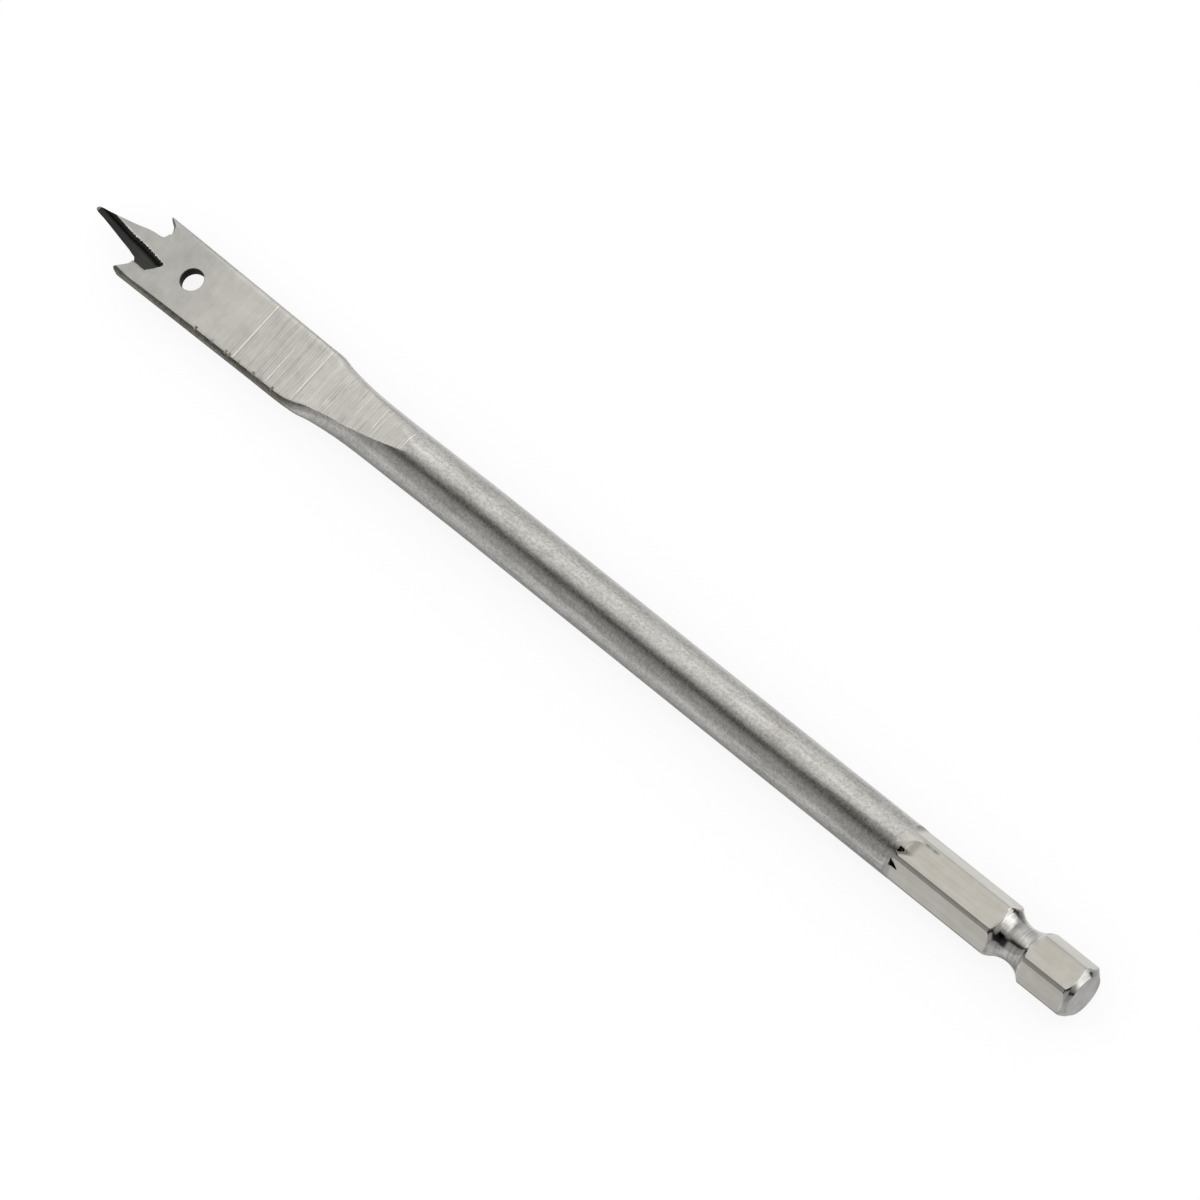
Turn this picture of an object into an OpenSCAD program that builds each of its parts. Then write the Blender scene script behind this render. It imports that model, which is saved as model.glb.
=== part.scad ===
// Spade drill bit: one steel bar, pressed flat into a blade at one end and into a hex at the other.
// It lies on its round bar with the blade level, the point towards -X and the hex towards +X.

/* [Bar] */
// Length from the tip of the point to the end of the hex
total_l = 160; // [140:1:220]
// Diameter of the round bar
bar_d = 7; // [6.6:0.05:7.3]

/* [Blade] */
// Width across the two spurs
blade_w = 9.85; // [9.5:0.05:13]
// Width at the shoulder, where the blade clears the hole that it bores
shoulder_w = 9.25; // [8.6:0.05:9.5]
// Distance from the tip of the point to the shoulder
blade_l = 37; // [30:0.5:50]
// Thickness between the two ground faces
blade_t = 1.45; // [1.3:0.05:1.6]
// Radius of the rounded side edges that the press leaves
edge_r = 0.85; // [0.82:0.01:1.2]

/* [Neck] */
// Length of the taper from the shoulder down to the round bar
neck_l = 8.6; // [6:0.2:12]
// Length over which each ground face runs out onto the bar
runout_l = 18.3; // [14:0.1:24]
// Crown radius of the face along the run-out
runout_r = 100; // [60:1:200]

/* [Point] */
// Width of the blunt tip
tip_w = 0.45; // [0.2:0.05:0.8]
// Width of the point where it meets the gullets
point_w = 3.9; // [3:0.1:4.4]

/* [Gullets and spurs] */
// Distance from the tip of the point to the bottom of a gullet
gullet_depth = 9; // [7:0.1:12]
// Radius of a gullet
gullet_r = 1.66; // [1.4:0.02:2]
// Distance from the axis to the middle of a gullet
gullet_y = 2.9; // [2.6:0.05:3.1]
// Rise of a spur's tip above the bottom of its gullet
spur_rise = 1.22; // [0.8:0.02:1.5]
// Relief angle behind the cutting edges
relief_a = 30; // [15:1:35]

/* [Hollow grind] */
// Distance from the axis to the inner border of the grind, level with the tip
grind_y = 1.08; // [0.8:0.02:1.3]
// Angle between that border and the axis
grind_a = 8.2; // [6:0.1:10]
// Depth of the step along that border
grind_step = 0.05; // [0.04:0.01:0.1]
// Slope of the hollow floor below that step, down towards the cutting edge
grind_slope = 20; // [17:0.5:22]
// Radius of the hollow floor
grind_r = 12; // [11:0.5:16]
// Distance from the axis to the outer wall of the grind
grind_wall_y = 2.71; // [2.4:0.01:3]
// Distance from the tip to the far end of the grind, along its inner border
grind_l = 12.5; // [11:0.1:13.5]
// Radius of the far end of the grind
grind_end_r = 7; // [6.6:0.1:9]
// Skew of the far end from square across the blade
grind_skew = 36; // [25:1:40]

/* [Cross hole] */
// Diameter of the hole through the blade
hole_d = 3; // [2:0.1:3.6]
// Distance from the tip of the point to the hole
hole_x = 16.5; // [15.5:0.1:24]

/* [Hex] */
// Size across the flats
hex_af = 6.35; // [6.2:0.05:6.4]
// Length of the hex
hex_l = 26; // [22:0.5:40]
// Slope of the ramp where each flat ends on the bar
ramp_a = 20; // [12:1:45]
// Chamfer round the end
end_chamfer = 0.85; // [0.3:0.05:1.2]

/* [Detent groove] */
// Diameter at the bottom of the groove
groove_d = 4.8; // [4.2:0.1:5.6]
// Radius of the groove's section
groove_r = 3.6; // [2.4:0.1:4]
// Distance from the end of the hex to the middle of the groove
groove_pos = 9.5; // [8:0.1:12]

/* [Hidden] */

round_fn = 96;
// Length by which a cutting shape runs past the surface that it cuts
past = 1;
bar_r = bar_d / 2;

// Rounded edges, from the shoulder out past the spurs
spur_x = gullet_depth - spur_rise;
roll_y = shoulder_w / 2 - edge_r;
taper_a = atan((blade_w - shoulder_w) / 2 / (blade_l - spur_x));
// Distance by which the web stops short of the middle of the rounded edges, inside them
web_inset = 0.1;

// Neck cones, which end just inside the bar
neck_end_x = blade_l + neck_l;
neck_end_y = 0.15;
neck_sink = 0.05;
neck_run = norm([neck_l, roll_y - neck_end_y]);
neck_a = atan((roll_y - neck_end_y) / neck_l);
// Slim start of the bar, which is hidden between the cones
bar_x = blade_l + neck_l / 2;
bar_lead = 0.3;
// Start of the cones, level with the rounded edges, which run a little way into them
neck_start_r = edge_r / cos(neck_a);
edge_into = 0.15;
edge_end = neck_start_r * sin(neck_a) + edge_into;

// Crowned run-out of the ground faces, from the blade up to just above the bar
runout_x = blade_l + runout_l;
runout_clear = 0.03;
runout_rise = bar_r + runout_clear - blade_t / 2;
runout_chord = norm([runout_l, runout_rise]);
runout_tilt = atan(runout_rise / runout_l);
runout_drop = sqrt(pow(runout_r, 2) - pow(runout_chord / 2, 2));
runout_cx = blade_l + runout_l / 2 + runout_drop * sin(runout_tilt);
runout_cz = blade_t / 2 + runout_rise / 2 - runout_drop * cos(runout_tilt);

// Tip of a spur on the gullet's circle, measured square to the relief from the bottom of the gullet
spur_cut_x = -spur_rise * cos(relief_a);
spur_y = gullet_y + sqrt(pow(gullet_r, 2) - pow(spur_cut_x + gullet_r, 2));
// Slope of the spur's outer corner
spur_corner_a = 40;

// Far end of the hollow grind: an arc between its inner border and its outer wall
grind_end_y = grind_y - grind_l * tan(grind_a);
grind_end_half = (grind_wall_y + grind_end_y) / 2 / cos(grind_skew);
grind_end_drop = sqrt(pow(grind_end_r, 2) - pow(grind_end_half, 2));
grind_cx = grind_l - grind_end_half * sin(grind_skew) - grind_end_drop * cos(grind_skew);
grind_cy = grind_end_y - grind_end_half * cos(grind_skew) + grind_end_drop * sin(grind_skew);

// Hex flats, from the end back to their ramps
hex_x = total_l - hex_l;
flat_r = hex_af / 2;
flat_cut_r = bar_r + past;
ramp_l = (flat_cut_r - flat_r) / tan(ramp_a);

// Bar along X from x1 to x2
module along_x(x1, x2, r1, r2) {
    translate([x1, 0, 0])
        rotate([0, 90, 0])
            cylinder(h = x2 - x1, r1 = r1, r2 = r2, $fn = round_fn);
}

module bar() {
    along_x(bar_x, neck_end_x, bar_r - bar_lead, bar_r);
    along_x(neck_end_x, total_l - end_chamfer, bar_r, bar_r);
    along_x(total_l - end_chamfer, total_l, bar_r, bar_r - end_chamfer);
}

// Flat web between the rounded edges, from in front of the tip back into the bar
module web() {
    front_x = -past;
    front_y = roll_y + (blade_l - front_x) * tan(taper_a);
    half = [
        [front_x, front_y - web_inset],
        [blade_l, roll_y - web_inset],
        [neck_end_x, neck_end_y - web_inset],
        [neck_end_x + past, neck_end_y - web_inset]
    ];
    translate([0, 0, -bar_r])
        linear_extrude(bar_d)
            polygon([for (p = half) p, for (i = [len(half) - 1 : -1 : 0]) [half[i].x, -half[i].y]]);
}

// One side of the blade and neck: the rounded edge, and a cone from the shoulder into the bar
module side_edge() {
    translate([blade_l, roll_y, 0]) {
        rotate([0, 90, -taper_a])
            translate([0, 0, -blade_l - past])
                cylinder(h = blade_l + past + edge_end, r = edge_r, $fn = round_fn);
        rotate([0, 90, -neck_a])
            cylinder(h = neck_run, r1 = neck_start_r, r2 = bar_r - neck_sink, $fn = round_fn);
    }
}

// Upper half of the space between the ground faces, seen from the side
module face_profile() {
    translate([-2 * past, 0])
        square([blade_l + 2 * past, blade_t / 2]);
    intersection() {
        translate([blade_l, 0])
            square([runout_l, bar_r + past]);
        translate([runout_cx, runout_cz])
            circle(r = runout_r, $fn = round_fn);
    }
    translate([runout_x, 0])
        square([total_l - runout_x + past, bar_r + past]);
}

module between_faces() {
    rotate([90, 0, 0])
        linear_extrude(blade_w + 2 * past, center = true) {
            face_profile();
            mirror([0, 1])
                face_profile();
        }
}

module stock() {
    intersection() {
        union() {
            bar();
            web();
            side_edge();
            mirror([0, 1, 0])
                side_edge();
        }
        between_faces();
    }
}

// Plan of the point, from the blunt tip to well behind the gullets
module point_plan() {
    flank = (point_w - tip_w) / 2 / gullet_depth;
    back_x = 2 * gullet_depth;
    back_y = tip_w / 2 + flank * back_x;
    polygon([[0, -tip_w / 2], [back_x, -back_y], [back_x, back_y], [0, tip_w / 2]]);
}

// Section of what is cut away in front of one lip and spur, from the bottom of the gullet forwards
module gullet_section() {
    front_x = -gullet_depth - 2 * past;
    outer_y = blade_w / 2 + past;
    translate([-gullet_r, gullet_y])
        circle(r = gullet_r, $fn = round_fn);
    polygon([
        [front_x, 0],
        [-gullet_r, 0],
        [-gullet_r, gullet_y],
        [spur_cut_x, spur_y],
        [spur_cut_x + (outer_y - spur_y) * tan(spur_corner_a), outer_y],
        [front_x, outer_y]
    ]);
}

// Cut that leaves one half of the point, a lip and a spur, relieved away from the leading face
module gullet_cut() {
    difference() {
        translate([gullet_depth, 0, blade_t / 2])
            rotate([0, -relief_a, 0])
                translate([0, 0, -2 * blade_t])
                    linear_extrude(gullet_depth + 2 * blade_t)
                        mirror([0, 1])
                            gullet_section();
        translate([0, 0, -2 * blade_t])
            linear_extrude(4 * blade_t)
                point_plan();
    }
}

// Hollow grind in front of one cutting edge: a hollow sloping floor below a step, a wall and a round end
module hollow_grind() {
    intersection() {
        translate([0, grind_y, blade_t / 2 - grind_step])
            rotate([0, 90, -grind_a])
                translate([-grind_r * cos(grind_slope), -grind_r * sin(grind_slope), 0])
                    cylinder(r = grind_r, h = 4 * grind_l, center = true, $fn = round_fn);
        translate([0, grind_y, -blade_t])
            rotate([0, 0, -grind_a])
                translate([-grind_l, -2 * grind_l, 0])
                    cube([3 * grind_l, 2 * grind_l, 2 * blade_t]);
        translate([grind_cx, grind_cy, 0])
            cylinder(r = grind_end_r, h = blade_t, center = true, $fn = round_fn);
        translate([-grind_l, -grind_wall_y, -blade_t])
            cube([3 * grind_l, 2 * grind_wall_y, 2 * blade_t]);
    }
}

// The same cut on both sides, turned half round the axis
module both_halves() {
    children();
    rotate([180, 0, 0])
        children();
}

module cross_hole() {
    translate([hole_x, 0, 0])
        cylinder(d = hole_d, h = blade_t + 2 * past, center = true, $fn = round_fn);
}

// Space outside one flat of the hex, with the ramp where the flat ends on the bar
module hex_flat_cut() {
    rotate([90, 0, 0])
        linear_extrude(bar_d, center = true)
            polygon([
                [hex_x - ramp_l, flat_cut_r],
                [hex_x, flat_r],
                [total_l + past, flat_r],
                [total_l + past, flat_cut_r]
            ]);
}

module detent_groove() {
    translate([total_l - groove_pos, 0, 0])
        rotate([0, 90, 0])
            rotate_extrude($fn = round_fn)
                translate([groove_d / 2 + groove_r, 0])
                    circle(r = groove_r, $fn = round_fn);
}

module spade_bit() {
    color("silver")
        translate([-total_l / 2, 0, bar_r])
            difference() {
                stock();
                both_halves()
                    gullet_cut();
                both_halves()
                    hollow_grind();
                cross_hole();
                for (i = [0 : 5])
                    rotate([60 * i, 0, 0])
                        hex_flat_cut();
                detent_groove();
            }
}

spade_bit();
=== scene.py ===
import math

import bmesh
import bpy
import numpy as np
from mathutils import Matrix, Vector, geometry


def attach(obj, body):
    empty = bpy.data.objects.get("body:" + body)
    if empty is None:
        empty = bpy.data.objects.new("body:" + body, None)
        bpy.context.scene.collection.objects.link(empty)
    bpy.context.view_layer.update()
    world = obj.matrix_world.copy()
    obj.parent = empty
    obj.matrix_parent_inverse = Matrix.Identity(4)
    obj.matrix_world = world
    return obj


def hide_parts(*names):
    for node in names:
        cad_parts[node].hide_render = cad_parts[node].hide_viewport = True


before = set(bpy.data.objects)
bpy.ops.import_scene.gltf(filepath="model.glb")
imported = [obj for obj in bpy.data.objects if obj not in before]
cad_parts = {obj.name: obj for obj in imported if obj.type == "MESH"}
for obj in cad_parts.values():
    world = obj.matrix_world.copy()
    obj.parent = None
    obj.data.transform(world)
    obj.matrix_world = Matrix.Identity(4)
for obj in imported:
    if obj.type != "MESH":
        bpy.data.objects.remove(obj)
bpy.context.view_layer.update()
mm = 0.001
rng = np.random.default_rng(7)


class Socket:
    # an output of a node, for shader maths
    def __init__(self, tree, out):
        self.tree = tree
        self.out = out

    def output(self, pick):
        return Socket(self.tree, self.out.node.outputs[pick])

    def maths(self, operation, *values):
        return addNode(self.tree, "ShaderNodeMath", {"operation": operation}, dict(enumerate(values)))

    def __add__(self, other):
        return self.maths("ADD", self, other)

    def __radd__(self, other):
        return self.maths("ADD", other, self)

    def __sub__(self, other):
        return self.maths("SUBTRACT", self, other)

    def __rsub__(self, other):
        return self.maths("SUBTRACT", other, self)

    def __mul__(self, other):
        return self.maths("MULTIPLY", self, other)

    def __rmul__(self, other):
        return self.maths("MULTIPLY", other, self)

    def __truediv__(self, other):
        return self.maths("DIVIDE", self, other)

    def __rtruediv__(self, other):
        return self.maths("DIVIDE", other, self)

    def ramp(self, low, high):
        values = {"Value": self, "From Min": low, "From Max": high}
        return addNode(self.tree, "ShaderNodeMapRange", {"interpolation_type": "SMOOTHSTEP"}, values)

    def mix(self, first, second):
        places = {0: self, 6: first, 7: second}  # the colour sockets share their names, so they go by place
        return addNode(self.tree, "ShaderNodeMix", {"data_type": "RGBA"}, places, 2)


def setStops(ramp, stops):
    ramp.interpolation = "EASE"
    while len(ramp.elements) < len(stops):
        ramp.elements.new(0.5)
    for mark, (place, colour) in zip(ramp.elements, stops):
        mark.position = place
        mark.color = colour


def addNode(tree, kind, settings=None, values=None, pick=0):
    node = tree.nodes.new(kind)
    for name, value in (settings or {}).items():
        if name == "stops":
            setStops(node.color_ramp, value)
        else:
            setattr(node, name, value)
    for name, value in (values or {}).items():
        if isinstance(value, Socket):
            tree.links.new(value.out, node.inputs[name])
        else:
            node.inputs[name].default_value = value
    return Socket(tree, node.outputs[pick] if len(node.outputs) else None)


def emptyTree(owner):
    owner.use_nodes = True
    owner.node_tree.nodes.clear()
    return owner.node_tree


def smooth(table, x):
    # smooth curve through points, monotone between them
    px, py = np.array(table, float).T
    x = np.clip(np.asarray(x, float), px[0], px[-1])
    h = np.diff(px)
    d = np.diff(py) / h
    m = np.zeros(len(px))
    inner = d[:-1] * d[1:] > 0
    w1, w2 = 2 * h[1:] + h[:-1], h[1:] + 2 * h[:-1]
    m[1:-1][inner] = ((w1 + w2)[inner]) / (w1[inner] / d[:-1][inner] + w2[inner] / d[1:][inner])
    m[0], m[-1] = d[0], d[-1]
    k = np.clip(np.searchsorted(px, x, side="right") - 1, 0, len(h) - 1)
    t = (x - px[k]) / h[k]
    a, b = (1 + 2 * t) * (1 - t) ** 2, t * (1 - t) ** 2
    c, e = t * t * (3 - 2 * t), t * t * (t - 1)
    return a * py[k] + b * h[k] * m[k] + c * py[k + 1] + e * h[k] * m[k + 1]


def step(low, high, value):
    t = np.clip((np.asarray(value, float) - low) / (high - low), 0, 1)
    return t * t * (3 - 2 * t)


def along(points, gap):
    # points at a steady gap along a polyline
    p = np.array(points, float)
    run = np.concatenate([[0], np.cumsum(np.hypot(*np.diff(p, axis=0).T))])
    at = np.linspace(0, run[-1], max(2, int(round(run[-1] / gap)) + 1))
    return np.stack([np.interp(at, run, p[:, 0]), np.interp(at, run, p[:, 1])], -1)


def rounded(points, gap):
    # the same along a curve that passes smoothly through the points
    p = np.array(points, float)
    run = np.concatenate([[0], np.cumsum(np.hypot(*np.diff(p, axis=0).T))])
    fine = np.linspace(0, run[-1], 40 * len(p))
    curve = np.stack([smooth(np.stack([run, p[:, k]], -1), fine) for k in (0, 1)], -1)
    return along(curve, gap)


def insidePolygon(points, loop):
    x, y = points[:, 0], points[:, 1]
    hit = np.zeros(len(points), bool)
    for (x1, y1), (x2, y2) in zip(loop, np.roll(loop, -1, axis=0)):
        if y1 != y2:
            cross = (y1 > y) != (y2 > y)
            hit ^= cross & (x < (x2 - x1) * (y - y1) / (y2 - y1) + x1)
    return hit


class Builder:
    # points and faces of the bit, gathered into one mesh
    def __init__(self):
        self.points = []
        self.faces = []
        self.finish = []

    def add(self, points):
        first = len(self.points)
        self.points.extend(tuple(float(v) for v in p) for p in points)
        return list(range(first, len(self.points)))

    def face(self, corners, finish):
        kept = [c for i, c in enumerate(corners) if c != corners[i - 1]]
        if len(kept) > 2:
            self.faces.append(kept)
            self.finish.append(finish)


shell = Builder()
finishes = ["ground", "burr", "hollow", "cut", "bore", "mark", "bar"]

# lengths in millimetres from the axis: x from the tip, y across the blade, z out of its face
blade = {
    "thick": 1.45,
    "joint": 20.0,  # the end is meshed up to here, and rings go on from it
    "halfWidth": [(7, 4.94), (14, 4.88), (20, 4.81), (25, 4.76), (30, 4.7), (36.5, 4.63), (38.3, 4.57),
                  (40.75, 4.1), (43.4, 3.77), (46, 3.58), (49, 3.515), (52, 3.5)],
    "flatHalf": [(7, 4.22), (8, 4.28), (10, 4.43), (12, 4.4), (16, 4.29), (21.7, 4.19), (30, 4.14),
                 (35, 4.07), (37, 3.95), (39.1, 3.46), (42.6, 2.9), (46, 2.44)],
    "flatHigh": [(35.5, 0.725), (36.4, 0.74), (37.4, 0.86), (38.8, 1.12), (40.7, 1.53), (42.64, 1.92),
                 (46.08, 2.49), (49.79, 2.96), (52.02, 3.21), (54.1, 3.4), (55.6, 3.5)],
    "ontoBar": (44.0, 46.5),  # the flat takes its width from the bar past here
    "aside": [(0, -0.2), (30, -0.22), (36, -0.25), (38, -0.2), (42, -0.18), (46, -0.16), (54, -0.11),
              (60, -0.045), (66, 0)],
    "belt": [(20, 4.45), (37.7, 3.85), (39.6, 3.7), (43.6, 2.9), (45.6, 2.55), (49, 2.3), (51.4, 2.2),
             (53.8, 1.85), (54.2, 1.6)],  # how far the belt finish goes past the flat
    "beltEnd": 54.2,
    "beltRows": 8,
    "relief": 30.0,
    "lipStart": (5.2, 8.4),
    "lipFade": (9.3, 13.8),
    "flanks": ((0.36, 0.199), (0.1, 0.19)),  # start and slope of the point's left and right flank
    "flankFade": (-0.9, -0.1),
    "flankLean": 0.33,
    "leanFade": (6.0, 9.5),
    "brightTip": 0.3,
    "hole": (16.6, 0.0, 1.5),
    "holeRim": 0.06,
    "holeSteps": 96,
    "tip": [(0.0, -0.26), (-0.02, -0.11), (0.03, 0.04)],
    "left": [(0.1, -0.36), (2.0, -0.72), (4.0, -1.11), (6.0, -1.52), (7.4, -1.86), (8.0, -2.04), (8.33, -2.1),
             (8.53, -2.18), (8.7, -2.34), (8.83, -2.54), (8.93, -2.78), (8.89, -3.1), (8.71, -3.45),
             (8.41, -3.8), (8.12, -4.12), (7.92, -4.34)],
    "right": [(0.1, 0.12), (2.0, 0.53), (4.0, 0.94), (5.58, 1.29), (6.88, 1.57), (7.88, 1.72), (8.65, 1.78),
              (9.0, 1.87), (9.17, 1.99), (9.27, 2.2), (9.33, 2.44), (9.36, 2.72), (9.34, 3.0), (9.25, 3.35),
              (9.08, 3.68), (8.86, 3.96)],
    "spur": {-1: [(7.78, 0.0), (7.6, 0.22), (7.62, 0.36), (7.74, 0.5), (7.98, 0.62)],
             1: [(8.62, 0.0), (8.25, 0.26), (7.84, 0.52), (7.78, 0.62)]},  # place by distance out from the flat
    "spurAt": 7.8,
    "columns": 70,
    "crowd": 1.35,
    "outlineGap": 0.09,
    "faceGap": 0.14,
    "clear": (0.035, 0.075, 0.15),  # least gap of border points, of other points, and size of a search cell
}


def section(x):
    # half width, flat's half width, flat's height and sideways shift of the blade and neck
    x = np.asarray(x, float)
    half = smooth(blade["halfWidth"], x)
    high = smooth(blade["flatHigh"], x)
    onBar = np.sqrt(np.maximum(half**2 - high**2, 0.0))
    blend = step(*blade["ontoBar"], x)
    flat = smooth(blade["flatHalf"], x) * (1 - blend) + onBar * blend
    return half, np.maximum(flat, 0.02), high, smooth(blade["aside"], x)


def edgeArc(x, j, side):
    # point j of the rounded edge, from the upper face round to the lower one
    half, flat, high, aside = section(x)
    middle = (half**2 - flat**2 - high**2) / (2 * (half - flat))
    radius = half - middle
    angle = np.arctan2(high, flat - middle) * (1 - 2 * j / arcSteps)
    return aside + side * (middle + radius * np.cos(angle)), radius * np.sin(angle)


hollow = {
    "near": (3.45, 0.58),
    "far": (12.49, -0.72),
    "corner": (11.04, -2.71),
    "endRound": 7.0,
    "wallStart": 8.6,
    "step": 0.03,
    "floorSlope": 0.07,
    "bandSlope": 0.4,
    "band": (0.25, 1.1),
    "rim": 0.07,
    "burr": 0.022,
    "burrWide": 0.1,
    "borderGap": 0.06,
}


def ragged(x):
    # uneven inner border of the hollow grind
    saw = np.abs(np.sin(5.3 * x + 0.6 * np.sin(2.1 * x)))
    return (0.075 * saw + 0.03 * np.sin(15.1 * x) - 0.05) * step(3.0, 7.0, x)


def hollowEnd():
    # middle of the arc at the far end
    (bx, by), (dx, dy) = hollow["far"], hollow["corner"]
    half = math.hypot(bx - dx, by - dy) / 2
    drop = math.sqrt(hollow["endRound"] ** 2 - half**2)
    ux, uy = (bx - dx) / 2 / half, (by - dy) / 2 / half
    return (bx + dx) / 2 - uy * drop, (by + dy) / 2 + ux * drop


def hollowDepth(x, y):
    # depth of the grind on the upper face, with a burr outside its border, and distance in from that border
    (ax, ay), (bx, by) = hollow["near"], hollow["far"]
    run = math.hypot(bx - ax, by - ay)
    inside = (x - ax) * (by - ay) / run - (y - ay) * (bx - ax) / run + ragged(x)
    endX, endY = hollowEnd()
    end = hollow["endRound"] - np.hypot(x - endX, y - endY) + 0.03 * np.sin(9 * y) + 0.015 * np.sin(23 * y)
    wall = y - hollow["corner"][1] + 0.012 * np.sin(13 * x)
    edge = np.minimum(inside, np.minimum(end, wall))
    u = np.maximum(inside, 0)
    low, high = hollow["band"]
    t = np.clip((u - low) / (high - low), 0, 1)
    band = np.minimum(u, low) + (high - low) * (t - t**3 + t**4 / 2)
    floor = hollow["step"] + hollow["floorSlope"] * u + hollow["bandSlope"] * band
    burr = hollow["burr"] * step(-hollow["burrWide"], -0.02, edge) * (edge < 0)
    return floor * step(0.0, hollow["rim"], edge) - burr, edge


def grindBorder():
    # lines along the border of the hollow grind, so that its rim is crisp
    (ax, ay), (bx, by), (dx, dy) = hollow["near"], hollow["far"], hollow["corner"]
    ex, ey = hollowEnd()
    run, gap = math.hypot(bx - ax, by - ay), hollow["borderGap"]
    turns = np.linspace(math.atan2(by - ey, bx - ex), math.atan2(dy - ey, dx - ex), 40)
    lines = []
    for off in (-hollow["burrWide"] - 0.01, -0.02, hollow["rim"] + 0.01):
        inner = along([(ax - 2, ay + 2 * (ay - by) / (bx - ax)), (bx - off, by)], gap)
        inner += np.outer(off - ragged(inner[:, 0]), ((by - ay) / run, -(bx - ax) / run))
        size = hollow["endRound"] - off
        arc = np.stack([ex + size * np.cos(turns), ey + size * np.sin(turns)], -1)
        lines += [inner, arc, along([(dx - off * 0.7, dy + off), (hollow["wallStart"], dy + off)], gap)]
    return np.concatenate(lines)


def relieve(points):
    # lean of the lips behind their cutting edges, and of the point's flanks
    p = np.array(points, float)
    x, y, z = p.T
    half = blade["thick"] / 2
    (leftAt, leftSlope), (rightAt, rightSlope) = blade["flanks"]
    flank = np.where(y < 0, -y - (leftAt + leftSlope * x), y - (rightAt + rightSlope * x))
    outside = step(*blade["flankFade"], flank) * step(*blade["lipStart"], x)
    behind = 1 - step(*blade["lipFade"], x)
    face = np.where(y < 0, half - hollowDepth(x, y)[0] - z, half - hollowDepth(x, -y)[0] + z)
    p[:, 0] = x + np.maximum(face, 0) * math.tan(math.radians(blade["relief"])) * outside * behind
    p[:, 1] = y - blade["flankLean"] * z * (1 - outside) * (1 - step(*blade["leanFade"], x))
    return p


def onFace(points, up):
    depth = hollowDepth(points[:, 0], up * points[:, 1])[0]
    return np.column_stack([points, up * (blade["thick"] / 2 - depth)])


def sideStrip(side):
    # rounded side edge from the spur to the joint, and its line on the upper face
    joint, columns = blade["joint"], blade["columns"]
    share = np.linspace(0, 1, columns + 1) ** blade["crowd"]
    places, outs = zip(*blade["spur"][side])
    flatY = edgeArc(blade["spurAt"], 0, 1)[0]
    grid = np.zeros((arcSteps + 1, columns + 1), int)
    lines = []
    for j in range(arcSteps + 1):
        front = float(np.interp(edgeArc(blade["spurAt"], j, 1)[0] - flatY, outs, places))
        x = front + (joint - front) * share
        y, z = edgeArc(x, j, side)
        grid[j] = shell.add(relieve(np.stack([x, y, z], -1)))
        lines.append(np.stack([x, y], -1))
    for j in range(arcSteps):
        belted = j < blade["beltRows"] if side > 0 else j >= arcSteps - blade["beltRows"]
        for i in range(columns):
            quad = [grid[j, i], grid[j, i + 1], grid[j + 1, i + 1], grid[j + 1, i]]
            shell.face(quad[::-side], "ground" if belted else "bar")
    for j in range(arcSteps // 2):
        k = arcSteps - j
        quad = [grid[j, 0], grid[j + 1, 0], grid[k - 1, 0], grid[k, 0]]
        shell.face(quad[::-side], "cut")
    return grid, lines[0]


def facePoints(loop, wide, up):
    # points over a face, clear of its border, the hole and each other
    hx, hy, hr = blade["hole"]
    gap = blade["faceGap"]
    borderClear, clear, cell = blade["clear"]
    gx, gy = np.meshgrid(np.arange(0.05, blade["joint"], gap), np.arange(-5.1, 5.1, gap))
    gx = gx + (np.arange(gx.shape[0]) % 2)[:, None] * gap / 2
    spread = np.stack([gx.ravel(), gy.ravel()], -1)
    border = grindBorder() * (1, up)
    border = border[insidePolygon(border, loop)]
    spread = np.concatenate([border, spread[insidePolygon(spread, loop)]])
    taken = {}
    for q in np.concatenate([loop, wide]):
        taken.setdefault((int(q[0] / cell), int(q[1] // cell)), []).append(q)
    kept = []
    for n, q in enumerate(spread):
        reach = borderClear if n < len(border) else clear
        if math.hypot(q[0] - hx, q[1] - hy) < hr + blade["holeRim"] + 0.03:
            continue
        row, column = int(q[0] / cell), int(q[1] // cell)
        near = [r for i in (-1, 0, 1) for k in (-1, 0, 1) for r in taken.get((row + i, column + k), ())]
        if all((q[0] - r[0]) ** 2 + (q[1] - r[1]) ** 2 > reach**2 for r in near):
            kept.append(q)
            taken.setdefault((row, column), []).append(q)
    return np.array(kept)


def fillFace(up, loop, wide, points, ids):
    # triangles between the border of a face, the hole and the points
    plane = np.concatenate([loop, wide, points])
    n, m = len(loop), len(wide)
    edges = [(i, (i + 1) % n) for i in range(n)] + [(n + i, n + (i + 1) % m) for i in range(m)]
    result = geometry.delaunay_2d_cdt([Vector(p) for p in plane], edges, [], 0, 1e-7)
    places, origins = result[0], result[3]
    back = [ids[o[0]] if o else None for o in origins]
    triangles = [t for t in result[2] if all(back[c] is not None for c in t)]
    centre = np.array([[sum(places[c][k] for c in t) / 3 for k in (0, 1)] for t in triangles])
    good = insidePolygon(centre, loop) & ~insidePolygon(centre, wide)
    inward = hollowDepth(centre[:, 0], up * centre[:, 1])[1]
    for t, ok, edge in zip(triangles, good, inward):
        if not ok:
            continue
        if edge < -hollow["burrWide"]:
            finish = "ground"
        elif edge < 0.01:
            finish = "burr"
        else:
            finish = "bar" if min(places[c][0] for c in t) < blade["brightTip"] else "hollow"
        shell.face([back[c] for c in t], finish)


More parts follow.
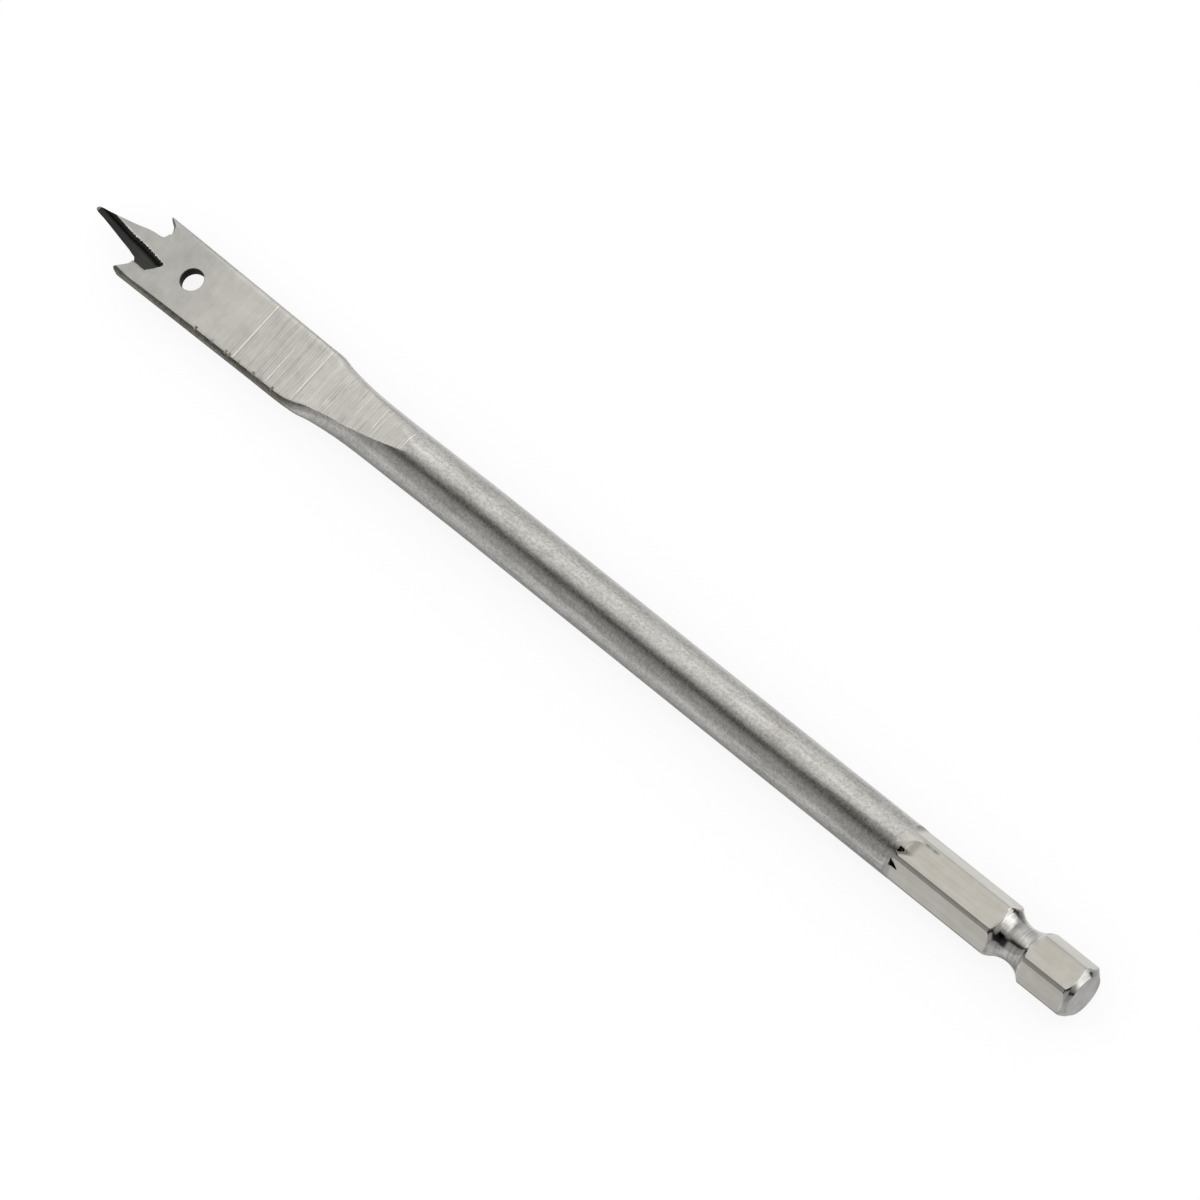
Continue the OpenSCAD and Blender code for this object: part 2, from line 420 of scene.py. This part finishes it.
def buildFace(up, strips, lines, front):
    # one face of the blade: gives its points at the front, round the hole and at the joint
    half, joint = blade["thick"] / 2, blade["joint"]
    hx, hy, hr = blade["hole"]
    rim, steps = blade["holeRim"], blade["holeSteps"]
    edge = 0 if up > 0 else arcSteps
    inner = front[1:-1]
    frontIds = shell.add(relieve(onFace(inner, up)))
    turn = np.linspace(0, 2 * math.pi, steps + 1)[:-1]
    circle = np.stack([np.cos(turn), np.sin(turn)], -1)
    wide = (hx, hy) + (hr + rim) * circle
    holeIds = shell.add(np.column_stack([(hx, hy) + hr * circle, np.full(steps, up * (half - rim))]))
    wideIds = shell.add(np.column_stack([wide, np.full(steps, up * half)]))
    for i in range(steps):
        k = (i + 1) % steps
        quad = [holeIds[i], holeIds[k], wideIds[k], wideIds[i]]
        shell.face(quad[::-up], "cut")
    _, flat, high, aside = section(joint)
    rowY = (aside + flat * np.linspace(-1, 1, bar["flatSteps"] + 1))[1:-1]
    rowIds = shell.add([(joint, y, up * high) for y in rowY])
    row = np.stack([np.full(len(rowY), joint), rowY], -1)
    loop = np.concatenate([lines[-1], row, lines[1][::-1], inner[::-1]])
    ids = list(strips[-1][edge]) + rowIds + list(strips[1][edge][::-1]) + frontIds[::-1]
    points = facePoints(loop, wide, up)
    pointIds = shell.add(relieve(onFace(points, up)))
    fillFace(up, loop, wide, points, ids + wideIds + pointIds)
    chain = [strips[-1][edge, 0]] + frontIds + [strips[1][edge, 0]]
    return chain, holeIds, [strips[-1][edge, -1]] + rowIds + [strips[1][edge, -1]]


def buildEnd():
    # blade from the tip to the joint: side edges, both faces, walls of the outline and hole
    strips, lines = {}, {}
    for side in (-1, 1):
        strips[side], lines[side] = sideStrip(side)
    left = [tuple(lines[-1][0])] + blade["left"][::-1]
    right = blade["right"] + [tuple(lines[1][0])]
    front = rounded(left + blade["tip"] + right, blade["outlineGap"])
    upper, upperHole, upperRow = buildFace(1, strips, lines, front)
    lower, lowerHole, lowerRow = buildFace(-1, strips, lines, front)
    for corners in zip(lower, lower[1:], upper[1:], upper):
        shell.face(corners, "cut")
    # the hole's wall takes the near-black finish, which paints the shade inside the hole
    for i in range(blade["holeSteps"]):
        k = (i + 1) % blade["holeSteps"]
        shell.face([upperHole[i], upperHole[k], lowerHole[k], lowerHole[i]], "bore")
    rightEdge, leftEdge = (list(strips[side][1:arcSteps, -1]) for side in (1, -1))
    return upperRow + rightEdge + lowerRow[::-1] + leftEdge[::-1]


bar = {
    "radius": 3.5,
    "length": 160.0,
    "hexFlat": 3.16,
    "hexStart": 134.0,
    "rampRound": 2.0,
    "late": {0: 1.8, 3: 1.8},  # these flats start later and softer
    "lateSide": (-1.65, -0.35),
    "scar": (134.9, 137.8, 25.5, 0.06, 0.11),  # from, to, degrees from straight up, height, width
    "grooveMiddle": 150.5,
    "grooveRound": 3.6,
    "grooveBottom": 2.4,
    "chamfer": 0.85,
    "endRadius": 2.65,
    "endRings": (0.97, 0.6, 0.3),
    "flatSteps": 24,
    "stripSteps": (3, 24, 4, 24, 3),
    "least": 1.5,  # degrees over half a flat's points where the bar is round
    "widen": (58, 80),
    "narrow": 110,
    "evenOut": (57, 82),  # where a ring's points turn from even steps to those of the hex
    "nicks": [(21.7, 0.22), (24.6, 0.12), (26.9, 0.2), (27.5, 0.16), (29.1, 0.1), (31.6, 0.16), (32.9, 0.1),
              (34.8, 0.2)],  # place and depth along the left edge
    "nickSize": (0.13, 0.17),
    "neckStops": [np.arange(20.12, 37, 0.12), np.arange(37, 55.6, 0.25)],
    "barStops": [np.linspace(56.5, 80, 12), np.linspace(84, 128, 12), np.linspace(129, 131.5, 4),
                 np.arange(131.6, 135.57, 0.06), np.arange(135.6, 138.05, 0.12), np.linspace(139, 147, 6),
                 np.arange(147.6, 153.5, 0.12), np.linspace(153.8, 158.9, 5), np.arange(159.05, 159.99, 0.06),
                 [160.0]],
}
arcSteps = sum(bar["stripSteps"])
pits = {
    "depth": 0.3,
    "wall": 0.07,
    "marks": {0: [(133.52, -1.34), (133.6, -0.56), (134.5, -0.62)],
              5: [(133.42, 1.3), (133.36, 0.25), (134.6, 0.3)],
              3: [(133.52, -1.34), (133.6, -0.56), (134.5, -0.62)],
              2: [(133.42, 1.3), (133.36, 0.25), (134.6, 0.3)]},  # corners of the press mark on a flat
    "dimple": (132.75, 0.55, 0.05),
}


def neckRing(x):
    # flat faces and rounded edges of the blade and neck at x, with the nicks
    _, flat, high, aside = (float(v) for v in section(x))
    across = np.linspace(-1, 1, bar["flatSteps"] + 1)
    top = [(x, aside + flat * a, high) for a in across]
    right = [(x, *map(float, edgeArc(x, j, 1))) for j in range(1, arcSteps)]
    lower = [(x, aside + flat * a, -high) for a in across[::-1]]
    left = [(x, *map(float, edgeArc(x, j, -1))) for j in range(arcSteps - 1, 0, -1)]
    points = np.array(top + right + lower + left)
    points[0, 1] += 0.025 * math.sin(7.7 * x) * math.sin(2.9 * x + 1) + rng.uniform(-0.012, 0.012)
    length, width = bar["nickSize"]
    for at, deep in bar["nicks"]:
        gone = np.exp(-((x - at) / length) ** 2)
        reach = np.exp(-(((points[:, 1] - (aside - flat)) / width) ** 2)) * (points[:, 2] > 0.2)
        points[:, 2] -= deep * gone * reach
        points[:, 1] += deep * 0.6 * gone * reach
    return points, high


def neckFinish(x, points, high):
    # belt finish on the flats and some way past them on the side where the belt ran off
    limit = float(smooth(blade["belt"], x))
    steps = bar["flatSteps"]
    names = []
    for i, (_, y, z) in enumerate(points):
        onFlat = i < steps or arcSteps + steps <= i < arcSteps + 2 * steps
        past = 0 < (y if z > 0 else -y) < limit and abs(z) > 0.3 * high
        names.append("ground" if x <= blade["beltEnd"] and (onFlat or past) else "bar")
    return names


def barShape(x):
    # radius of the round and half angle of the flats at x
    r = bar["radius"]
    off = abs(x - bar["grooveMiddle"])
    if off < bar["grooveRound"]:
        r = min(r, bar["grooveBottom"] + bar["grooveRound"] - math.sqrt(bar["grooveRound"] ** 2 - off**2))
    r = min(r, bar["radius"] - (x - (bar["length"] - bar["chamfer"])))
    flat = bar["hexFlat"] + max(0.0, bar["hexStart"] - x) ** 2 / (2 * bar["rampRound"])
    small, full = math.radians(bar["least"]), math.acos(bar["hexFlat"] / bar["radius"])
    cut = math.acos(min(1.0, flat / r)) if flat < r else 0.0
    if x < bar["hexStart"] - 0.02 and cut < small:
        grow = float(step(*bar["widen"], x) * (1 - step(bar["narrow"], bar["hexStart"] - 1.3, x)))
        return r, small + (full - small) * grow
    return r, max(cut, small, full * min(1.0, max(0.0, flat - r) / 0.5))


def ringAngles(half, even):
    # angles from straight up, round through +y, for the points of a ring
    strip = math.pi / 3 - 2 * half
    spread = [half * (2 * k / bar["flatSteps"] - 1) for k in range(bar["flatSteps"] + 1)]
    sides = [half]
    at = half
    for n, width in zip(bar["stripSteps"], (strip, 2 * half, strip, 2 * half, strip)):
        sides += [at + width * (k + 1) / n for k in range(n)]
        at += width
    plain = [half + (math.pi - 2 * half) * k / arcSteps for k in range(arcSteps + 1)]
    right = [a * (1 - even) + b * even for a, b in zip(sides, plain)][1:-1]
    lower = [math.pi + a for a in spread]
    left = [2 * math.pi - a for a in right[::-1]]
    return np.array(spread + right + lower + left)


def pressMarks(x, angles, radius):
    # depth of the press marks on a ring
    deep = np.zeros(len(angles))
    middleX, reach, dimple = pits["dimple"]
    for k, mark in pits["marks"].items():
        off = angles - k * math.pi / 3
        side = radius * np.sin(off)
        facing = np.cos(off) > 0.5
        (x1, y1), (x2, y2), (x3, y3) = mark
        turn = np.sign((x2 - x1) * (y3 - y1) - (x3 - x1) * (y2 - y1))
        inside = np.full(len(angles), 9.0)
        for (ax, ay), (bx, by) in zip(mark, mark[1:] + mark[:1]):
            away = turn * ((bx - ax) * (side - ay) - (by - ay) * (x - ax)) / math.hypot(bx - ax, by - ay)
            inside = np.minimum(inside, away)
        deep += pits["depth"] * np.clip(inside / pits["wall"], 0, 1) * facing
        deep += dimple * (1 - step(0, 1, np.hypot(x - middleX, side) / reach)) * facing
    return deep


def barRing(x):
    # round bar, hex, groove and chamfer at x, with the depth of the press marks
    r, half = barShape(x)
    angles = ringAngles(half, 1 - float(step(*bar["evenOut"], x)))
    radius = np.full(len(angles), r)
    for k in range(6):
        off = angles - k * math.pi / 3
        late = bar["late"].get(k, 0.0) * step(*bar["lateSide"], r * np.sin(off))
        flat = bar["hexFlat"] + np.maximum(0, bar["hexStart"] + late - x) ** 2 / (2 * bar["rampRound"] + 3 * late)
        radius = np.minimum(radius, flat / np.maximum(np.cos(off), 1e-3))
    low, high, turn, rise, wide = bar["scar"]
    gate = step(low - 0.3, low + 0.3, x) * (1 - step(high - 0.5, high, x)) * (0.8 + 0.2 * math.sin(5.7 * x))
    radius = radius + rise * gate * np.exp(-(((angles - math.radians(turn)) * r / wide) ** 2))
    deep = pressMarks(x, angles, radius)
    radius = radius - deep
    aside = float(smooth(blade["aside"], x))
    return np.stack([np.full(len(angles), x), aside + radius * np.sin(angles), radius * np.cos(angles)], -1), deep


def link(first, second, names):
    n = len(first)
    for i in range(n):
        k = (i + 1) % n
        shell.face([first[k], second[k], second[i], first[i]], names[i])


def buildBar(ring):
    # rings from the joint back over the neck, bar, hex, groove and chamfer
    plain = ["bar"] * len(ring)
    for x in np.concatenate(bar["neckStops"]):
        points, high = neckRing(x)
        new = shell.add(points)
        link(ring, new, neckFinish(x, points, high))
        ring = new
    before = np.zeros(len(ring))
    for x in np.concatenate(bar["barStops"]):
        points, deep = barRing(float(x))
        new = shell.add(points)
        both = (deep + before) / 2
        # faces deep in a press mark take the near-black finish, which paints the shade in the pit
        link(ring, new, ["mark" if d > pits["depth"] / 2 else "bar" for d in both + np.roll(both, -1)])
        ring, before = new, deep
    for shrink in bar["endRings"]:
        p = np.array([shell.points[i] for i in ring])
        size = bar["endRadius"] * shrink / np.hypot(p[:, 1], p[:, 2]).max()
        new = shell.add(p * (1, size, size))
        link(ring, new, plain)
        ring = new
    middle = shell.add([(bar["length"], 0.0, 0.0)])[0]
    for i in range(len(ring)):
        shell.face([ring[i], ring[(i + 1) % len(ring)], middle], "bar")


def axes(place, skew=0.0):
    # parts of a position, with x leaning along y by skew
    split = addNode(place.tree, "ShaderNodeSeparateXYZ", None, {0: place})
    x, y, z = (split.output(k) for k in range(3))
    return x + y * skew, y, z


def noise(place, size, skew=0.0, detail=3.0, roughness=0.55):
    # noise stretched along the axes
    values = {k: part * scale for k, (part, scale) in enumerate(zip(axes(place, skew), size))}
    spot = addNode(place.tree, "ShaderNodeCombineXYZ", None, values)
    values = {"Vector": spot, "Scale": 1.0, "Detail": detail, "Roughness": roughness}
    return addNode(place.tree, "ShaderNodeTexNoise", None, values)


ground = {
    "skew": 0.0593,
    "dull": (0.38, 0.376, 0.362, 1),
    "bright": (0.84, 0.825, 0.785, 1),
    # the dark colour below also paints the shadow beside each belt-pass line, and the shine colour paints their
    # highlight
    "scratchAndShadow": (0.24, 0.23, 0.21, 1),
    "shine": (1.0, 0.99, 0.97, 1),
    "speck": (0.25, 0.24, 0.22, 1),
    "passes": [(27.8, 1.0, 0.1, -4.5, 4.0), (28.15, 0.5, 0.06, 0.5, 4.2), (33.3, 0.9, 0.07, -3.9, 0.9),
               (33.6, 0.4, 0.05, -2.6, 2.0), (37.5, 1.0, 0.08, -2.6, 3.6), (46.2, 0.8, 0.06, -0.6, 2.2),
               (49.2, 1.0, 0.07, -0.8, 2.3), (49.8, 0.5, 0.06, -1.8, 0.6),
               (54.0, 0.9, 0.07, -0.8, 1.8)],  # where a belt pass stops: place, strength, width, from, to
    "passFade": 0.4,
    "passShadow": 1.9,
}


def passLines(lean, across, shift):
    # lines where belt passes stop, moved along by shift times their width, used for a painted highlight and its
    # painted shadow
    fade = ground["passFade"]
    total = None
    for at, strength, width, low, high in ground["passes"]:
        held = across.ramp((low - fade) * mm, low * mm) * (1 - across.ramp(high * mm, (high + fade) * mm)) * strength
        off = (lean - (at + width * shift - bar["length"] / 2) * mm) / (width * mm)
        line = off.maths("POWER", math.e, off * off * -1.0) * held
        total = line if total is None else total + line
    return total


def groundLook(place):
    skew = ground["skew"]
    lines = noise(place, (8200, 140, 140), skew, 2, 0.55)
    fine = noise(place, (13000, 500, 500), skew, 2)
    broad = noise(place, (900, 60, 60), skew, 2)
    cloud = noise(place, (260, 260, 260), 0, 3)
    mottle = noise(place, (1100, 1100, 1100), 0, 3, 0.6)
    speck = noise(place, (2600, 2200, 2600), 0, 2)
    lean, across, _ = axes(place, skew)
    rear = lean.ramp(-0.06, -0.046)  # stronger brushing towards the neck
    tone = (lines + fine - 1.0) * (0.14 + rear * 0.5) + (broad - 0.5) * 0.12
    tone = tone + (cloud - 0.5) * 0.3 + (mottle - 0.5) * 0.22 + 0.43 + lean.ramp(-0.066, -0.056) * 0.16
    broken = noise(place, (120, 700, 700), 0, 3, 0.6).ramp(0.25, 0.5)
    # painted highlight along each belt pass's stop, and a painted shadow shifted beside it
    light = passLines(lean, across, 0.0) * broken
    dark = passLines(lean, across, ground["passShadow"]) * broken
    gate = noise(place, (250, 450, 450), 0, 2).ramp(0.38, 0.58)
    bright = noise(place, (7800, 55, 55), skew, 0).ramp(0.63, 0.73) * gate * rear
    deep = (1 - noise(place, (7000, 60, 60), skew, 0)).ramp(0.63, 0.73) * (1 - gate * 0.6) * rear
    colour = tone.ramp(0.0, 1.0).mix(ground["dull"], ground["bright"])
    # the shifted pass lines are painted shadow, the deep lines are dark scratches
    colour = (dark * 0.45 + deep * 0.42).mix(colour, ground["scratchAndShadow"])
    colour = (light + bright * 0.55).mix(colour, ground["shine"])
    colour = (speck.ramp(0.7, 0.8) * 0.5).mix(colour, ground["speck"])
    return colour, 0.3 + lines * 0.14, lines * 0.6 + fine * 0.2 + light * 0.8, 0.2


def hollowLook(place):
    lines = noise(place, (300, 5000, 5000), 0, 3)
    cloud = noise(place, (500, 900, 900), 0, 2)
    tone = (lines * 0.7 + cloud * 0.3).ramp(0.3, 0.7) * 0.45 + axes(place)[0].ramp(-0.077, -0.069) * 0.55
    colour = tone.mix((0.04, 0.039, 0.042, 1), (0.078, 0.078, 0.071, 1))
    return colour, 0.16 + lines * 0.1, lines, 0.12


# plain grained finishes: size and detail of the grain, its range, two colours, roughness and bump
grains = {
    "burr": ((1500, 1500, 1500), 2, (0.35, 0.65), (0.5, 0.495, 0.49, 1), (0.85, 0.84, 0.83, 1), (0.3, 0.1), 0.2),
    "cut": ((3000, 3000, 800), 3, (0.3, 0.7), (0.2, 0.195, 0.185, 1), (0.36, 0.355, 0.34, 1), (0.45, 0.2), 0.3),
    # the hole-wall finish is near black: painted shade on the inside of the hole
    "bore": ((2000, 2000, 5000), 2, (0.3, 0.7), (0.006, 0.006, 0.005, 1), (0.02, 0.02, 0.018, 1), (0.5, 0.1), 0.2),
    # the press-mark finish is near black and brownish: painted shade in the pits
    "mark": ((1700, 1700, 1700), 2, (0.3, 0.7), (0.008, 0.007, 0.005, 1), (0.1, 0.088, 0.068, 1), (0.45, 0.1), 0.2),
}


def grainLook(place, finish):
    size, detail, spread, dark, light, (rough, more), strength = grains[finish]
    grain = noise(place, size, 0, detail)
    return grain.ramp(*spread).mix(dark, light), rough + grain * more, grain, strength


drawnBar = {
    "dull": (0.41, 0.4, 0.378, 1),
    "bright": (0.76, 0.75, 0.728, 1),
    "hexFrom": (0.0522, 0.0542),  # metres from the middle of the bit
    "groove": ((0.0677, 0.0682), (0.0729, 0.0734)),
    "chamfer": (0.0791, 0.0792),
    "skinAndShadeEnd": (-0.0435, -0.0405),
    "polished": ((0.54, 0.52, 0.47, 1), (0.66, 0.64, 0.6, 1)),
    "turned": ((0.42, 0.41, 0.39, 1), (0.72, 0.71, 0.69, 1)),
    # these dark skin colours also stand for painted shade on the blade's -y edge
    "scale": ((0.14, 0.13, 0.11, 1), (0.37, 0.352, 0.315, 1)),
}


def barLook(place):
    speck = noise(place, (2800, 2800, 2800), 0, 4, 0.75)
    drawn = noise(place, (140, 2600, 2600), 0, 3)
    cloud = noise(place, (160, 420, 420), 0, 3)
    blotch = noise(place, (700, 700, 700), 0, 3, 0.6)
    rings = noise(place, (4200, 160, 160), 0, 3, 0.6)
    lengthwise, across, _ = axes(place)
    start, end = drawnBar["groove"]
    hexed = lengthwise.ramp(*drawnBar["hexFrom"])
    turned = lengthwise.ramp(*start) * (1 - lengthwise.ramp(*end)) + lengthwise.ramp(*drawnBar["chamfer"])
    # the dark skin goes on the -y side only, so it is partly forge skin and partly painted shade on that side
    scale = (1 - lengthwise.ramp(*drawnBar["skinAndShadeEnd"])) * (1 - across.ramp(-0.001, 0.001))
    tone = speck * 0.6 + drawn * 0.2 + cloud * 0.2
    colour = tone.ramp(0.34, 0.66).mix(drawnBar["dull"], drawnBar["bright"])
    polished = (drawn * 0.35 + cloud * 0.35 + blotch * 0.3).ramp(0.3, 0.7).mix(*drawnBar["polished"])
    fresh = (rings * 0.6 + blotch * 0.4).ramp(0.35, 0.65).mix(*drawnBar["turned"])
    colour = hexed.mix(colour, turned.mix(polished, fresh))
    colour = scale.mix(colour, tone.ramp(0.36, 0.64).mix(*drawnBar["scale"]))  # dark skin left on the blade's -y edge, and painted shade on that side
    rough = 0.21 + speck * 0.14 - hexed * 0.11 - turned * 0.09 + scale * 0.15
    height = (speck * 0.65 + drawn * 0.35) * (1 - hexed * 0.9) + turned * rings * 0.3
    return colour, rough, height, 0.4


looks = {"ground": groundLook, "hollow": hollowLook, "bar": barLook}


def steel(finish):
    material = bpy.data.materials.new(finish + "Steel")
    tree = emptyTree(material)
    place = addNode(tree, "ShaderNodeNewGeometry")
    colour, rough, height, strength = looks[finish](place) if finish in looks else grainLook(place, finish)
    bump = addNode(tree, "ShaderNodeBump", None, {"Strength": strength, "Distance": 0.05 * mm, "Height": height})
    values = {"Base Color": colour, "Metallic": 1.0, "Roughness": rough, "Normal": bump}
    shader = addNode(tree, "ShaderNodeBsdfPrincipled", None, values)
    addNode(tree, "ShaderNodeOutputMaterial", None, {"Surface": shader})
    return material


def finishMesh():
    mesh = bpy.data.meshes.new("spadeBit")
    x, y, z = np.array(shell.points).T
    points = np.stack([x - bar["length"] / 2, y, z + bar["radius"]], -1) * mm
    mesh.from_pydata([tuple(p) for p in points], [], shell.faces)
    mesh.validate()
    for finish in finishes:
        mesh.materials.append(steel(finish))
    print("finishes made", len(finishes))
    mesh.polygons.foreach_set("material_index", [finishes.index(f) for f in shell.finish])
    mesh.polygons.foreach_set("use_smooth", [True] * len(mesh.polygons))
    solid = bmesh.new()
    solid.from_mesh(mesh)
    bmesh.ops.recalc_face_normals(solid, faces=solid.faces)
    solid.to_mesh(mesh)
    solid.free()
    mesh.set_sharp_from_angle(angle=math.radians(22))
    piece = bpy.data.objects.new("spadeBit", mesh)
    bpy.context.scene.collection.objects.link(piece)
    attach(piece, "root")
    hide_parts("spade_bit")
    return piece


joint = buildEnd()
print("blade end built", len(shell.points), "points")
buildBar(joint)
piece = finishMesh()
triangles = sum(len(p.vertices) - 2 for p in piece.data.polygons)
print("bit built", len(piece.data.vertices), "points", triangles, "triangles")

stageSettings = {
    "floorSize": 3.0,
    "floorColour": (0.93, 0.93, 0.93, 1),
    "softLight": 1.12,
    "lift": 0.84,
    "gain": 2.0,  # ramp colours stop at 1, so levels are divided by this and the sky gives it back
    "warm": (5, 70, 0.012, 0.045),  # middle and spread of the warm part in degrees, and how far green and blue drop
    "ring": [(-180, 0.5), (-160, 0.3), (-140, 0.45), (-118, 0.65), (-96, 0.72), (-78, 0.44), (-58, 0.41),
             (-43, 0.34), (-33, 0.07), (-24, 0.02), (-16, 0.2), (-4, 0.55), (12, 0.85), (36, 1.08), (60, 0.9),
             (84, 0.7), (104, 0.6), (124, 0.78), (134, 0.9), (146, 0.9), (166, 0.95),
             (180, 0.5)],  # level round the bar's axis, by degrees from straight up towards +y
    "floorRing": [(-180, 0.5), (-150, 0.62), (-118, 0.66), (-90, 0.42), (-74, 0.04), (-36, 0.02), (-25, 0.2),
                  (-12, 0.38), (12, 0.55), (60, 0.58), (88, 0.5), (99, 0.2), (110, 0.3), (140, 0.55), (180, 0.5)],
    "wallRing": [(-180, 0.55), (-150, 0.5), (-110, 0.5), (-85, 0.35), (-68, 0.02), (-30, 0.0), (-14, 0.35),
                 (10, 0.9), (35, 1.6), (58, 1.8), (80, 1.2), (94, 0.12), (103, 0.03), (110, 0.35), (117, 0.5),
                 (150, 0.5), (180, 0.55)],
    "endRing": [(-180, 0.5), (-150, 0.5), (-112, 0.5), (-80, 0.4), (-68, 0.26), (-62, 0.02), (-52, 0.02),
                (-44, 0.22), (-14, 0.5), (10, 0.9), (35, 1.4), (58, 1.4), (74, 1.15), (92, 1.15), (106, 0.6),
                (127, 0.4), (150, 0.5), (165, 0.54), (180, 0.5)],
    "reach": {"floorRing": (-0.3, 0.0), "wallRing": (0.1, 0.3), "endRing": (0.54, 0.64)},  # by the x of the way
}


def buildStage():
    size = stageSettings["floorSize"]
    mesh = bpy.data.meshes.new("floor")
    mesh.from_pydata([(-size, -size, 0), (size, -size, 0), (size, size, 0), (-size, size, 0)], [], [(0, 1, 2, 3)])
    floor = bpy.data.objects.new("floor", mesh)
    bpy.context.scene.collection.objects.link(floor)
    material = bpy.data.materials.new("floorPaint")
    tree = emptyTree(material)
    paint = addNode(tree, "ShaderNodeBsdfDiffuse", None, {"Color": stageSettings["floorColour"]})
    white = addNode(tree, "ShaderNodeEmission", None, {"Color": (1, 1, 1, 1), "Strength": 1.0})
    seen = addNode(tree, "ShaderNodeLightPath").output("Is Camera Ray")
    shader = addNode(tree, "ShaderNodeMixShader", None, {0: seen * stageSettings["lift"], 1: paint, 2: white})
    addNode(tree, "ShaderNodeOutputMaterial", None, {"Surface": shader})
    mesh.materials.append(material)
    floor.visible_glossy = False


def lightRing(angle, name):
    # level of the studio by angle round the bar
    middle, spread, green, blue = stageSettings["warm"]
    stops = []
    for turn, level in stageSettings[name]:
        warm = math.exp(-(((turn - middle) / spread) ** 2))
        level = level / stageSettings["gain"]
        stops.append((turn / 360 + 0.5, (level, level * (1 - green * warm), level * (1 - blue * warm), 1)))
    return addNode(angle.tree, "ShaderNodeValToRGB", {"stops": stops}, {0: angle})


def buildLight():
    world = bpy.data.worlds.new("studio")
    bpy.context.scene.world = world
    world.cycles.sampling_method = "NONE"
    tree = emptyTree(world)
    dx, dy, dz = axes(addNode(tree, "ShaderNodeTexCoord"))
    angle = dy.maths("ARCTAN2", dy, dz) / (2 * math.pi) + 0.5
    studio = lightRing(angle, "ring")
    for name, (low, high) in stageSettings["reach"].items():
        studio = dx.ramp(low, high).mix(studio, lightRing(angle, name))
    path = addNode(tree, "ShaderNodeLightPath")
    gain = stageSettings["gain"]
    soft = [stageSettings["softLight"] / gain] * 3 + [1]
    colour = path.output("Is Glossy Ray").mix(soft, studio)
    colour = path.output("Is Camera Ray").mix(colour, (1 / gain, 1 / gain, 1 / gain, 1))
    sky = addNode(tree, "ShaderNodeBackground", None, {"Color": colour, "Strength": gain})
    addNode(tree, "ShaderNodeOutputWorld", None, {"Surface": sky})


view = {
    "place": (0.31007, -0.15309, 0.63237),
    "right": (0.7061, 0.68605, -0.17535),
    "ahead": (-0.42693, 0.21489, -0.87838),
    "lens": 187.74,
    "sensor": 36,
    "near": 0.01,
}


def buildCamera():
    data = bpy.data.cameras.new("camera")
    data.sensor_width = view["sensor"]
    data.lens = view["lens"]
    data.clip_start = view["near"]
    camera = bpy.data.objects.new("camera", data)
    bpy.context.scene.collection.objects.link(camera)
    back = -Vector(view["ahead"]).normalized()
    right = Vector(view["right"])
    right = (right - back * right.dot(back)).normalized()
    turn = Matrix((right, back.cross(right), back)).transposed().to_4x4()
    camera.matrix_world = Matrix.Translation(view["place"]) @ turn
    bpy.context.scene.camera = camera


buildStage()
buildLight()
buildCamera()
bpy.context.scene.view_settings.view_transform = "Standard"
print("stage, light and camera set")
